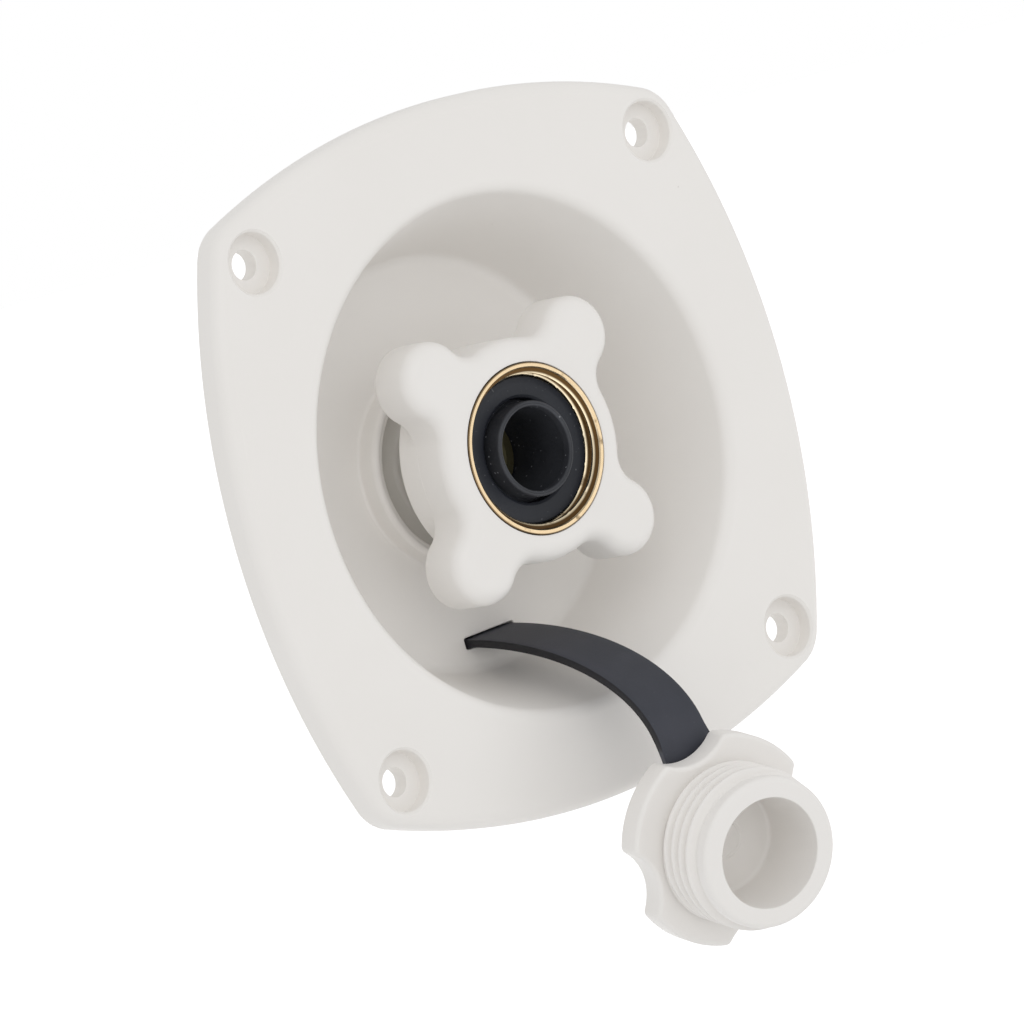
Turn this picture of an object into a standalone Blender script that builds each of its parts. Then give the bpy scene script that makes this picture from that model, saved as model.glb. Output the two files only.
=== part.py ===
"""Recessed water inlet: a square flange with a round dish, a swivel hose nut on a
check-valve body, and a rubber strap that carries the screw-in plug.

X is to the right, Y goes into the wall and Z is up. The origin is on the nut's axis,
in the plane of the flange's back face. "Out" is the distance in front of that plane,
which is minus Y. Sizes are in millimetres and are turned into metres by MM."""

import bmesh
import bpy
from math import acos, asin, atan2, cos, pi, radians, sin, tau
from mathutils import Matrix, Vector

MM = 0.001
GAP = 0.3                      # clearance left between pieces that touch

# hose thread, 3/4-11.5
THREAD_CREST_R = 13.5
THREAD_MINOR_R = 12.4

# flange and dish
HOLE_SPACING = 88.0
FLANGE_HALF = 60.0             # at the middle of a side
FLANGE_BOW_R = 128.0           # radius of a bowed side
FLANGE_CORNER_R = 8.0
FLANGE_THICK = 6.0
FLANGE_EDGE_R = 2.4
FLANGE_RIM = 3.0               # wall left round the hollow back
FLANGE_SKIN = 3.0              # front skin over the hollow back
SCREW_HEAD_R, SCREW_HEAD_DEEP, SCREW_HOLE_R = 5.1, 3.0, 2.6
SCREW_BOSS_R = 8.0
DISH_MOUTH_R = 43.6
DISH_FLOOR_R = 35.4
DISH_FLOOR_OUT = -17.9
DISH_WALL = 2.8
DISH_BACK_OUT = DISH_FLOOR_OUT - DISH_WALL
DISH_STEPS = 64

# collar round the body, and the cup behind it
COLLAR_R = 17.4
COLLAR_OUT = -13.7
COLLAR_BORE_R = 15.3
CUP_FLOOR_OUT = -20.5
CUP_BACK_OUT = CUP_FLOOR_OUT - 3.0
CUP_R = 18.2
BODY_HOLE_R = 10.9

# inlet body
NECK_R = 10.5
NECK_FRONT_OUT = 1.0
BODY_BORE_R = 9.0
BODY_STEP_OUT = -26.8
OUTLET_BORE_R = 7.0
OUTLET_END_OUT = -50.0
SHOULDER_R = 14.8
SHOULDER_FRONT_OUT = -16.9
SHOULDER_BACK_OUT = -18.9
RING_GROOVE_OUT = (-1.9, -0.4)
RING_GROOVE_R = 9.9

# swivel nut and its brass thread
NUT_FACE_OUT = 8.0
NUT_BACK_OUT = -2.0
NUT_HUB_R, NUT_HUB_BACK_OUT = 18.4, -6.0
NUT_EDGE_R = 2.6
NUT_LOBE_R, NUT_LOBE_AT, NUT_NECK_R, NUT_FILLET_R = 6.7, 22.3, 18.9, 4.5
NUT_TURN = 44.0                # where the first lobe stands, degrees from +X
INSERT_R = 14.4
INSERT_FACE_OUT = 8.1
INSERT_SHOULDER_OUT = -2.3
INSERT_BACK_OUT = -4.0
INSERT_SHOULDER_R = 10.9

# check valve
SLEEVE_R, SLEEVE_BORE_R, SLEEVE_LIP_OUT = 8.7, 7.65, 8.0
SLEEVE_STEP_OUT, SLEEVE_BACK_OUT, SLEEVE_THROAT_R = -9.3, -12.3, 6.2
O_RING_OUT, O_RING_R, O_RING_WIRE_R = -10.6, 8.15, 0.75
SEAT_FRONT_OUT, SEAT_BORE_R = -7.3, 5.3
POPPET_FACE_OUT = -7.8
POPPET_BOSS_R, POPPET_DISC_R, POPPET_STEM_R = 4.9, 7.4, 1.6
POPPET_DISC_OUT = (-13.9, -15.4)
POPPET_STEM_END_OUT = -29.0
GUIDE_OUT = (-24.5, -26.5)
GUIDE_HOLE_R, GUIDE_PORT_R, GUIDE_PORT_AT = 2.0, 1.7, 5.4
SPRING_R, SPRING_WIRE_R, SPRING_TURNS = 3.6, 0.35, 4

# strap: half thickness, width and the curve of its free length as (out, up) points
STRAP_HALF = 0.7
STRAP_WIDTH = 10.6
STRAP_CURVE = ((-17.9, -30.2), (4.0, -32.0), (20.5, -40.0), (23.2, -50.0))
STRAP_BEND_AT = 0.45           # place of the first bend along that curve
STRAP_BEND_GAP = 0.8           # each side of a bend
SLOT_HALF_HIGH = 1.0
SLOT_WIDTH = 11.2

# sealing plug, in its own frame: z along its axis from the back face of the rim
PLUG_BACK = Vector((1.0, -22.8, -68.8))
PLUG_YAW, PLUG_PITCH = 11.0, 10.0
PLUG_RIM_R, PLUG_RIM_THICK = 17.8, 5.6
PLUG_SCALLOP_R, PLUG_SCALLOP_DEEP, PLUG_SCALLOP_TURN = 8.65, 3.2, 7.5
PLUG_LENGTH = 18.1
PLUG_LEAD_R, PLUG_LEAD_LONG = 12.3, 2.6
PLUG_BORE_R, PLUG_BORE_FLOOR = 9.2, 3.8
POST_R, POST_HEAD_R = 2.6, 4.4
STRAP_EYE_R, STRAP_EYE_HOLE_R = 7.0, 2.95
STRAP_TAIL_LONG = 11.0         # flat part, from the eye's centre towards the second bend


def start_scene():
    for old in list(bpy.data.objects):
        bpy.data.objects.remove(old, do_unlink=True)
    made = {}
    for name in ("water_inlet", "cutters"):
        made[name] = bpy.data.collections.new(name)
        bpy.context.scene.collection.children.link(made[name])
    return made


COLLECTIONS = start_scene()


def plain_material(name, colour, roughness, metallic=0.0):
    mat = bpy.data.materials.new(name)
    mat.use_nodes = True
    bsdf = mat.node_tree.nodes["Principled BSDF"]
    bsdf.inputs["Base Color"].default_value = (*colour, 1.0)
    bsdf.inputs["Roughness"].default_value = roughness
    bsdf.inputs["Metallic"].default_value = metallic
    return mat


WHITE = plain_material("white_abs", (0.76, 0.75, 0.72), 0.5)
RUBBER = plain_material("black_rubber", (0.035, 0.037, 0.044), 0.65)
BLACK = plain_material("black_nylon", (0.03, 0.03, 0.033), 0.5)
BRASS = plain_material("brass", (0.72, 0.5, 0.22), 0.3, 1.0)
STEEL = plain_material("spring_steel", (0.6, 0.6, 0.6), 0.3, 1.0)

# turned pieces and flat outlines are drawn with +Z facing out of the wall
FACING_OUT = Matrix.Rotation(pi / 2, 4, "X")


def plug_frame():
    yaw, pitch = radians(PLUG_YAW), radians(PLUG_PITCH)
    axis = Vector((-sin(yaw) * cos(pitch), -cos(yaw) * cos(pitch), -sin(pitch)))
    across = Vector((0, 0, 1)).cross(axis).normalized()
    up = axis.cross(across)
    frame = Matrix((across, up, axis)).transposed().to_4x4()
    frame.translation = PLUG_BACK * MM
    return frame


PLUG_FRAME = plug_frame()


def add_object(name, mesh, material, frame=FACING_OUT, cutter=False):
    obj = bpy.data.objects.new(name, mesh)
    COLLECTIONS["cutters" if cutter else "water_inlet"].objects.link(obj)
    obj.matrix_world = frame
    if cutter:
        obj.hide_render = True
        obj.display_type = "WIRE"
    elif material:
        mesh.materials.clear()
        mesh.materials.append(material)
    return obj


def smooth(obj, angle=35.0):
    obj.data.shade_smooth()
    obj.data.set_sharp_from_angle(angle=radians(angle))


def turned(name, profile, material=None, steps=48, frame=FACING_OUT, cutter=False):
    """A profile of (radius, out) points, from the front down the outer side. It closes
    on itself, unless it starts and ends on the axis."""
    mesh = bpy.data.meshes.new(name)
    verts = [(r * MM, 0.0, out * MM) for r, out in profile]
    edges = [(i, i + 1) for i in range(len(verts) - 1)]
    if profile[0][0] > 0:
        edges.append((len(verts) - 1, 0))
    mesh.from_pydata(verts, edges, [])
    obj = add_object(name, mesh, material, frame, cutter)
    screw = obj.modifiers.new("turn", "SCREW")
    screw.steps = screw.render_steps = steps
    screw.use_merge_vertices = True
    screw.merge_threshold = 0.00001
    screw.use_smooth_shade = False
    return obj


def corner(centre, radius, start, end, count):
    """Points round a corner of a profile, as angles in degrees from the +X side."""
    spread = [radians(start + (end - start) * i / count) for i in range(count + 1)]
    return [(centre[0] + radius * cos(a), centre[1] + radius * sin(a)) for a in spread]


def slab(name, outline, low, high, material=None, frame=FACING_OUT, cutter=False, edge=0.0, back=False):
    """An outline of (x, y) points extruded from low to high. edge rounds the front rim
    by that radius, and the back rim too if back is set."""
    mesh = bpy.data.meshes.new(name)
    bm = bmesh.new()
    face = bm.faces.new([bm.verts.new((x * MM, y * MM, low * MM)) for x, y in outline])
    face.normal_update()
    if face.normal.z > 0:
        face.normal_flip()
    top = bmesh.ops.extrude_face_region(bm, geom=[face])["geom"]
    moved = [v for v in top if isinstance(v, bmesh.types.BMVert)]
    bmesh.ops.translate(bm, verts=moved, vec=(0, 0, (high - low) * MM))
    if edge:
        levels = (high * MM, low * MM) if back else (high * MM,)
        rims = [e for e in bm.edges
                if any(all(abs(v.co.z - z) < 1e-7 for v in e.verts) for z in levels)]
        bmesh.ops.bevel(bm, geom=rims, offset=edge * MM, segments=3, profile=0.5, affect="EDGES")
    bmesh.ops.recalc_face_normals(bm, faces=bm.faces)
    bm.to_mesh(mesh)
    bm.free()
    return add_object(name, mesh, material, frame, cutter)


def circle(radius, count=32, centre=(0.0, 0.0)):
    return [(centre[0] + radius * cos(tau * i / count), centre[1] + radius * sin(tau * i / count))
            for i in range(count)]


def rod(name, radius, low, high, centre=(0.0, 0.0), frame=FACING_OUT, count=24):
    return slab(name, circle(radius, count, centre), low, high, frame=frame, cutter=True)


def hull(name, points):
    """The closed solid that wraps a set of world points, used as a tool."""
    mesh = bpy.data.meshes.new(name)
    bm = bmesh.new()
    corners = [bm.verts.new(p) for p in points]
    found = bmesh.ops.convex_hull(bm, input=corners)
    inner = [v for v in found["geom_interior"] if isinstance(v, bmesh.types.BMVert)]
    bmesh.ops.delete(bm, geom=inner, context="VERTS")
    bmesh.ops.recalc_face_normals(bm, faces=bm.faces)
    bm.to_mesh(mesh)
    bm.free()
    return add_object(name, mesh, None, Matrix.Identity(4), cutter=True)


def boolean(target, tool, operation="DIFFERENCE"):
    step = target.modifiers.new(tool.name, "BOOLEAN")
    step.operation = operation
    step.object = tool
    step.solver = "EXACT"


def bowed_outline(inset=0.0):
    """The flange's outline: four bowed sides and four round corners."""
    bow = FLANGE_BOW_R - inset
    centre = FLANGE_HALF - FLANGE_BOW_R          # of the right side's arc, on X
    corner_r = FLANGE_CORNER_R - inset
    reach = bow - corner_r                       # arc centre to corner centre
    # the corner's centre is on the diagonal, at `reach` from the side's arc centre
    diagonal = (centre + (2 * reach ** 2 - centre ** 2) ** 0.5) / 2
    turn = asin(diagonal / reach)
    side_steps, corner_steps = 12, 7
    points = []
    for quarter in range(4):
        spin = Matrix.Rotation(quarter * pi / 2, 2)
        side = [(centre + bow * cos(a), bow * sin(a))
                for a in (turn * (2 * i / side_steps - 1) for i in range(side_steps + 1))]
        bend = [(diagonal + corner_r * cos(a), diagonal + corner_r * sin(a))
                for a in (turn + (pi / 2 - 2 * turn) * i / corner_steps for i in range(1, corner_steps))]
        points += [tuple(spin @ Vector(p)) for p in side + bend]
    return points


def screw_places():
    half = HOLE_SPACING / 2
    return [(sx * half, sy * half) for sx in (-1, 1) for sy in (-1, 1)]


def make_flange_dish():
    """Plate, dish, collar and cup as one moulding, with a hollow back."""
    plate = slab("flange_dish", bowed_outline(), 0.0, FLANGE_THICK, WHITE, edge=FLANGE_EDGE_R)
    wall_front = DISH_MOUTH_R + 2.6
    hollow = slab("back_hollow", bowed_outline(FLANGE_RIM), -5.0, FLANGE_THICK - FLANGE_SKIN, cutter=True)
    boolean(hollow, rod("hollow_dish_keep", wall_front + 0.6, -8.0, 5.0, count=DISH_STEPS))
    for i, place in enumerate(screw_places()):
        boolean(hollow, rod(f"hollow_boss_keep_{i}", SCREW_BOSS_R, -8.0, 5.0, place))
    boolean(plate, hollow)
    shell = turned("dish_shell", [
        (0, 2.5), (wall_front, 2.5), (DISH_FLOOR_R + 2.2, DISH_BACK_OUT + 2.0),
        (DISH_FLOOR_R + 0.4, DISH_BACK_OUT), (CUP_R, DISH_BACK_OUT),
        (CUP_R, CUP_BACK_OUT), (0, CUP_BACK_OUT)], steps=DISH_STEPS, cutter=True)
    boolean(plate, shell, "UNION")
    lip = corner((DISH_MOUTH_R + 2.0, FLANGE_THICK - 2.0), 2.0, 90, 172, 5)
    foot = corner((DISH_FLOOR_R - 0.3, DISH_FLOOR_OUT + 1.8), 1.8, -20, -90, 4)
    cavity = turned("dish_cavity", [
        (0, 12.0), (DISH_MOUTH_R + 2.0, 12.0), *lip, *foot,
        (COLLAR_R, DISH_FLOOR_OUT), (COLLAR_R - 0.2, COLLAR_OUT - 0.7), (COLLAR_R - 0.8, COLLAR_OUT),
        (COLLAR_BORE_R + 0.6, COLLAR_OUT), (COLLAR_BORE_R, COLLAR_OUT - 0.7),
        (COLLAR_BORE_R, CUP_FLOOR_OUT), (BODY_HOLE_R, CUP_FLOOR_OUT),
        (BODY_HOLE_R, -30.0), (0, -30.0)], steps=DISH_STEPS, cutter=True)
    boolean(plate, cavity)
    for i, place in enumerate(screw_places()):
        boolean(plate, rod(f"screw_hole_{i}", SCREW_HOLE_R, -5.0, 12.0, place))
        boolean(plate, rod(f"screw_head_{i}", SCREW_HEAD_R, FLANGE_THICK - SCREW_HEAD_DEEP, 12.0, place))
    half = SLOT_WIDTH / 2
    low, high = STRAP_CURVE[0][1] - SLOT_HALF_HIGH, STRAP_CURVE[0][1] + SLOT_HALF_HIGH
    slot = [(-half, low), (half, low), (half, high), (-half, high)]
    boolean(plate, slab("strap_slot", slot, -26.0, -10.0, cutter=True))


def make_inlet_body():
    groove_back, groove_front = RING_GROOVE_OUT
    turned("inlet_body", [
        (BODY_BORE_R, NECK_FRONT_OUT), (NECK_R, NECK_FRONT_OUT), (NECK_R, groove_front),
        (RING_GROOVE_R, groove_front), (RING_GROOVE_R, groove_back), (NECK_R, groove_back),
        (NECK_R, SHOULDER_FRONT_OUT), (SHOULDER_R, SHOULDER_FRONT_OUT),
        (SHOULDER_R, SHOULDER_BACK_OUT), (NECK_R, SHOULDER_BACK_OUT),
        (NECK_R, OUTLET_END_OUT + 1.2), (NECK_R - 1.2, OUTLET_END_OUT),
        (OUTLET_BORE_R, OUTLET_END_OUT), (OUTLET_BORE_R, BODY_STEP_OUT),
        (BODY_BORE_R, BODY_STEP_OUT)], WHITE, steps=40)


def make_body_fixings():
    """The gasket under the shoulder and the lock nut behind the dish."""
    turned("body_gasket", [
        (BODY_HOLE_R + 0.2, SHOULDER_BACK_OUT - GAP), (SHOULDER_R - 0.4, SHOULDER_BACK_OUT - GAP),
        (SHOULDER_R - 0.4, CUP_FLOOR_OUT + GAP), (BODY_HOLE_R + 0.2, CUP_FLOOR_OUT + GAP)], RUBBER)
    front = CUP_BACK_OUT - GAP
    nut = slab("rear_lock_nut", circle(17.0, 6), front - 7.0, front, WHITE, edge=0.8, back=True)
    boolean(nut, rod("lock_nut_bore", NECK_R + GAP, front - 12.0, front + 5.0, count=48))


def lobed_outline(lobe_r, lobe_at, hub_r, fillet_r, turn, count=4):
    """Round lobes on a round hub, with a fillet on each side of a lobe."""
    to_hub, to_lobe = hub_r + fillet_r, lobe_r + fillet_r
    # fillet centre to lobe centre, seen from the axis and then from the lobe's centre
    swing = acos((to_hub ** 2 + lobe_at ** 2 - to_lobe ** 2) / (2 * to_hub * lobe_at))
    reach = pi - acos((lobe_at ** 2 + to_lobe ** 2 - to_hub ** 2) / (2 * lobe_at * to_lobe))
    points = []

    def arc(centre_turn, centre_at, radius, start, end, steps):
        for step in range(steps):
            a = start + (end - start) * step / steps
            points.append((centre_at * cos(centre_turn) + radius * cos(a),
                           centre_at * sin(centre_turn) + radius * sin(a)))

    for i in range(count):
        lobe = radians(turn) + i * tau / count
        following = lobe + tau / count
        arc(lobe, lobe_at, lobe_r, lobe - reach, lobe + reach, 12)
        arc(lobe + swing, to_hub, fillet_r, lobe + reach + pi, lobe + swing + pi, 4)
        arc(0.0, 0.0, hub_r, lobe + swing, following - swing, 5)
        arc(following - swing, to_hub, fillet_r, following - swing + pi, following - reach + pi, 4)
    return points


def make_swivel_nut():
    outline = lobed_outline(NUT_LOBE_R, NUT_LOBE_AT, NUT_NECK_R, NUT_FILLET_R, NUT_TURN)
    nut = slab("swivel_nut", outline, NUT_BACK_OUT, NUT_FACE_OUT, WHITE, edge=NUT_EDGE_R, back=True)
    hub = rod("nut_hub", NUT_HUB_R, NUT_HUB_BACK_OUT, NUT_BACK_OUT + 3.0, count=48)
    boolean(nut, hub, "UNION")
    boolean(nut, rod("nut_socket", INSERT_R + GAP, INSERT_BACK_OUT - GAP, 12.0, count=48))
    boolean(nut, rod("nut_back_hole", INSERT_SHOULDER_R + 0.1, -12.0, 5.0, count=48))
    turned("thread_insert", [
        (13.2, INSERT_FACE_OUT), (INSERT_R, INSERT_FACE_OUT), (INSERT_R, INSERT_BACK_OUT),
        (INSERT_SHOULDER_R, INSERT_BACK_OUT), (INSERT_SHOULDER_R, INSERT_SHOULDER_OUT),
        (THREAD_MINOR_R, INSERT_SHOULDER_OUT), (THREAD_MINOR_R, INSERT_FACE_OUT - 0.9)], BRASS)


def make_neck_parts():
    """The snap ring that keeps the nut on the neck, and the hose washer."""
    back, front = RING_GROOVE_OUT[0] + 0.3, RING_GROOVE_OUT[1] - 0.3
    split = radians(14)
    reach = [split + (tau - 2 * split) * i / 40 for i in range(41)]
    outer = [(11.9 * cos(a), 11.9 * sin(a)) for a in reach]
    inner = [(10.2 * cos(a), 10.2 * sin(a)) for a in reversed(reach)]
    slab("neck_snap_ring", outer + inner, back, front, STEEL)
    low, high = NECK_FRONT_OUT + GAP, 5.6
    turned("hose_washer", [
        (SLEEVE_R + GAP, high), (11.8, high), (12.1, high - 0.4), (12.1, low),
        (SLEEVE_R + GAP, low)], RUBBER)


def make_check_valve():
    groove_half = O_RING_WIRE_R + 0.25
    turned("valve_sleeve", [
        (SLEEVE_BORE_R, SLEEVE_LIP_OUT), (SLEEVE_R - 0.2, SLEEVE_LIP_OUT),
        (SLEEVE_R, SLEEVE_LIP_OUT - 0.3), (SLEEVE_R, O_RING_OUT + groove_half),
        (O_RING_R - groove_half, O_RING_OUT + groove_half),
        (O_RING_R - groove_half, O_RING_OUT - groove_half), (SLEEVE_R, O_RING_OUT - groove_half),
        (SLEEVE_R, SLEEVE_BACK_OUT), (SLEEVE_THROAT_R, SLEEVE_BACK_OUT),
        (SLEEVE_THROAT_R, SLEEVE_STEP_OUT), (SLEEVE_BORE_R, SLEEVE_STEP_OUT)], BLACK, steps=40)
    wire = corner((O_RING_R, O_RING_OUT), O_RING_WIRE_R, 90, -210, 5)
    turned("sleeve_o_ring", wire, RUBBER, steps=32)
    turned("valve_seat", [
        (SEAT_BORE_R + 0.5, SEAT_FRONT_OUT), (SLEEVE_BORE_R - GAP, SEAT_FRONT_OUT),
        (SLEEVE_BORE_R - GAP, SLEEVE_STEP_OUT + GAP), (SEAT_BORE_R, SLEEVE_STEP_OUT + GAP),
        (SEAT_BORE_R, SEAT_FRONT_OUT - 0.5)], BRASS, steps=32)
    disc_front, disc_back = POPPET_DISC_OUT
    turned("valve_poppet", [
        (0, POPPET_FACE_OUT), (POPPET_BOSS_R - 0.5, POPPET_FACE_OUT),
        (POPPET_BOSS_R, POPPET_FACE_OUT - 0.5), (POPPET_BOSS_R, disc_front),
        (POPPET_DISC_R, disc_front), (POPPET_DISC_R, disc_back),
        (POPPET_STEM_R, disc_back), (POPPET_STEM_R, POPPET_STEM_END_OUT + 0.4),
        (POPPET_STEM_R - 0.4, POPPET_STEM_END_OUT), (0, POPPET_STEM_END_OUT)], BLACK, steps=32)
    turned("poppet_seal", [
        (POPPET_BOSS_R + GAP, SLEEVE_BACK_OUT - GAP), (POPPET_DISC_R, SLEEVE_BACK_OUT - GAP),
        (POPPET_DISC_R, disc_front + GAP), (POPPET_BOSS_R + GAP, disc_front + GAP)], RUBBER, steps=32)
    guide_front, guide_back = GUIDE_OUT
    guide = slab("stem_guide", circle(SLEEVE_R, 40), guide_back, guide_front, BLACK)
    boolean(guide, rod("guide_bore", GUIDE_HOLE_R, guide_back - 2, guide_front + 2))
    for i in range(6):
        place = (GUIDE_PORT_AT * cos(i * tau / 6), GUIDE_PORT_AT * sin(i * tau / 6))
        boolean(guide, rod(f"guide_port_{i}", GUIDE_PORT_R, guide_back - 2, guide_front + 2, place, count=12))


def make_spring():
    """A coil round the poppet's stem, from its disc back to the guide."""
    front = POPPET_DISC_OUT[1] - SPRING_WIRE_R - 0.1
    back = GUIDE_OUT[0] + SPRING_WIRE_R + 0.1
    per_turn = 12
    curve = bpy.data.curves.new("valve_spring", "CURVE")
    curve.dimensions = "3D"
    curve.bevel_depth = SPRING_WIRE_R * MM
    curve.bevel_resolution = 1
    curve.use_fill_caps = True
    line = curve.splines.new("POLY")
    line.points.add(per_turn * SPRING_TURNS)
    for i, point in enumerate(line.points):
        a = tau * i / per_turn
        out = back + (front - back) * i / (per_turn * SPRING_TURNS)
        point.co = (SPRING_R * cos(a) * MM, SPRING_R * sin(a) * MM, out * MM, 1.0)
    add_object("valve_spring", curve, STEEL)


def strap_point(t):
    """Centre of the free strap at t from 0 to 1, and its direction, as (out, up)."""
    p = [Vector(q) for q in STRAP_CURVE]
    s = 1 - t
    place = s ** 3 * p[0] + 3 * s * s * t * p[1] + 3 * s * t * t * p[2] + t ** 3 * p[3]
    along = 3 * s * s * (p[1] - p[0]) + 6 * s * t * (p[2] - p[1]) + 3 * t * t * (p[3] - p[2])
    return place, along.normalized()


def strap_t_near(t, gap):
    """The place on the strap's curve that is gap millimetres further on."""
    ahead = strap_point(t + 0.001)[0] - strap_point(t - 0.001)[0]
    return t + gap * 0.002 / ahead.length


def band_outline(start, end, count):
    """Side outline of the strap between two places on its curve."""
    upper, lower = [], []
    for i in range(count + 1):
        place, along = strap_point(start + (end - start) * i / count)
        across = Vector((-along.y, along.x)) * STRAP_HALF
        upper.append(tuple(place + across))
        lower.append(tuple(place - across))
    return upper, lower


# side outlines are drawn in (out, up) and extruded sideways, along X
SIDE_ON = Matrix(((0, 0, 1, 0), (-1, 0, 0, 0), (0, 1, 0, 0), (0, 0, 0, 1)))


def make_strap():
    half = STRAP_WIDTH / 2
    before = strap_t_near(STRAP_BEND_AT, -STRAP_BEND_GAP)
    after = strap_t_near(STRAP_BEND_AT, STRAP_BEND_GAP)
    upper, lower = band_outline(0.0, before, 9)
    up = STRAP_CURVE[0][1]
    neck_out, head_out, head_high = DISH_BACK_OUT - GAP, DISH_BACK_OUT - 2.6, 2.8
    anchor = [(neck_out, up - STRAP_HALF), (neck_out, up - head_high), (head_out, up - head_high),
              (head_out, up + head_high), (neck_out, up + head_high), (neck_out, up + STRAP_HALF)]
    slab("strap_anchor", anchor + upper + lower[::-1], -half, half, RUBBER, SIDE_ON)
    upper, lower = band_outline(after, 1 - (after - STRAP_BEND_AT), 9)
    slab("strap_middle", upper + lower[::-1], -half, half, RUBBER, SIDE_ON)
    eye_turn = asin(half / STRAP_EYE_R)
    eye = [(STRAP_EYE_R * cos(a), STRAP_EYE_R * sin(a))
           for a in (pi / 2 + eye_turn + (tau - 2 * eye_turn) * i / 24 for i in range(25))]
    tail = [(half, STRAP_TAIL_LONG), (-half, STRAP_TAIL_LONG)]
    tip = slab("strap_tip", eye + tail, -GAP - 2 * STRAP_HALF, -GAP, RUBBER, PLUG_FRAME)
    boolean(tip, rod("eye_hole", STRAP_EYE_HOLE_R, -5.0, 3.0, frame=PLUG_FRAME, count=24))
    # the short run from the second bend down to the flat tail, which is turned with the plug
    low, high = STRAP_TAIL_LONG - 1.5, STRAP_TAIL_LONG
    tail_end = [PLUG_FRAME @ Vector((x * MM, y * MM, z * MM))
                for x in (-half, half) for y in (low, high) for z in (-GAP, -GAP - 2 * STRAP_HALF)]
    bend, along = strap_point(1.0)
    start = bend + along * STRAP_BEND_GAP
    across = Vector((-along.y, along.x)) * STRAP_HALF
    bend_end = [SIDE_ON @ Vector((p.x * MM, p.y * MM, x * MM))
                for x in (-half, half) for p in (start + across, start - across)]
    boolean(tip, hull("tip_run", tail_end + bend_end), "UNION")


def scalloped_outline():
    """A round rim with four round bites taken out of it."""
    bite_at = PLUG_RIM_R - PLUG_SCALLOP_DEEP + PLUG_SCALLOP_R
    # angle from a bite's middle to where it meets the rim, seen from both centres
    cos_rim = (PLUG_RIM_R ** 2 + bite_at ** 2 - PLUG_SCALLOP_R ** 2) / (2 * PLUG_RIM_R * bite_at)
    rim_half = atan2((1 - cos_rim ** 2) ** 0.5, cos_rim)
    bite_half = asin(PLUG_RIM_R * sin(rim_half) / PLUG_SCALLOP_R)
    points = []
    for i in range(4):
        bite = radians(PLUG_SCALLOP_TURN) + i * pi / 2
        centre = Vector((cos(bite), sin(bite))) * bite_at
        for step in range(7):
            a = bite + pi + bite_half * (1 - step / 3)
            points.append(tuple(centre + Vector((cos(a), sin(a))) * PLUG_SCALLOP_R))
        for step in range(1, 8):
            a = bite + rim_half + (pi / 2 - 2 * rim_half) * step / 8
            points.append((PLUG_RIM_R * cos(a), PLUG_RIM_R * sin(a)))
    return points


def make_sealing_plug():
    plug = slab("sealing_plug", scalloped_outline(), 0.0, PLUG_RIM_THICK, WHITE, PLUG_FRAME, edge=0.6, back=True)
    lead = PLUG_LENGTH - PLUG_LEAD_LONG
    body = turned("plug_body", [
        (0, PLUG_LENGTH), (PLUG_LEAD_R - 0.9, PLUG_LENGTH), (PLUG_LEAD_R - 0.3, PLUG_LENGTH - 0.3),
        (PLUG_LEAD_R, PLUG_LENGTH - 0.9), (PLUG_LEAD_R, lead + 0.6), (THREAD_CREST_R - 0.3, lead),
        (THREAD_CREST_R - 0.3, 2.0), (POST_R, 2.0), (POST_R, -2.0), (POST_HEAD_R, -2.2),
        (POST_HEAD_R, -2.8), (POST_HEAD_R - 1.4, -4.2), (0, -4.2)], frame=PLUG_FRAME, cutter=True)
    boolean(plug, body, "UNION")
    boolean(plug, turned("plug_bore", [
        (0, PLUG_LENGTH + 5), (PLUG_BORE_R + 0.3, PLUG_LENGTH + 5), (PLUG_BORE_R + 0.3, PLUG_LENGTH),
        (PLUG_BORE_R, PLUG_LENGTH - 0.4), (PLUG_BORE_R - 0.2, PLUG_BORE_FLOOR + 0.5),
        (PLUG_BORE_R - 0.7, PLUG_BORE_FLOOR), (0, PLUG_BORE_FLOOR)], frame=PLUG_FRAME, cutter=True))


def main():
    make_flange_dish()
    make_inlet_body()
    make_body_fixings()
    make_swivel_nut()
    make_neck_parts()
    make_check_valve()
    make_spring()
    make_strap()
    make_sealing_plug()
    for obj in COLLECTIONS["water_inlet"].objects:
        if obj.type == "MESH":
            smooth(obj)


main()
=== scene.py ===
from math import acos, asin, atan2, ceil, cos, degrees, pi, radians, sin, sqrt, tan, tau

import bmesh
import bpy
from mathutils import Matrix, Vector
from mathutils.geometry import delaunay_2d_cdt


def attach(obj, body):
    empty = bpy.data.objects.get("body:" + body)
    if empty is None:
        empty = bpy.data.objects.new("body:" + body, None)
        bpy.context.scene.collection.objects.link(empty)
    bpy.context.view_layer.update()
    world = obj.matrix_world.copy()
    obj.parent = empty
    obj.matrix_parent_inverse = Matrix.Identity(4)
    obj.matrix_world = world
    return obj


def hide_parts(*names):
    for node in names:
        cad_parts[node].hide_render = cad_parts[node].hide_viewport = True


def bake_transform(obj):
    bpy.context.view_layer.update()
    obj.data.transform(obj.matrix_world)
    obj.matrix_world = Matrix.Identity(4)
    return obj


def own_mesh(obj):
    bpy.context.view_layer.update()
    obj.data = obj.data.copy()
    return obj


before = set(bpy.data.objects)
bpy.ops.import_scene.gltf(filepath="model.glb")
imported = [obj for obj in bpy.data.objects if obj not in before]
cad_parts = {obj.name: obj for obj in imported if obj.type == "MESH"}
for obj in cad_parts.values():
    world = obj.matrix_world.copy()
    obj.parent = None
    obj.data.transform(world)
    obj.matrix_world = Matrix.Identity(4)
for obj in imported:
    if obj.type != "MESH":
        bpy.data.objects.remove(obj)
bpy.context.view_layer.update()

mm = 0.001
facingOut = Matrix.Rotation(pi / 2, 4, "X")     # drawings have z out of the wall
flat = 0.12                                     # strip kept flat beside each rounding, in mm


# outlines and profiles, all in millimetres

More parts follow.
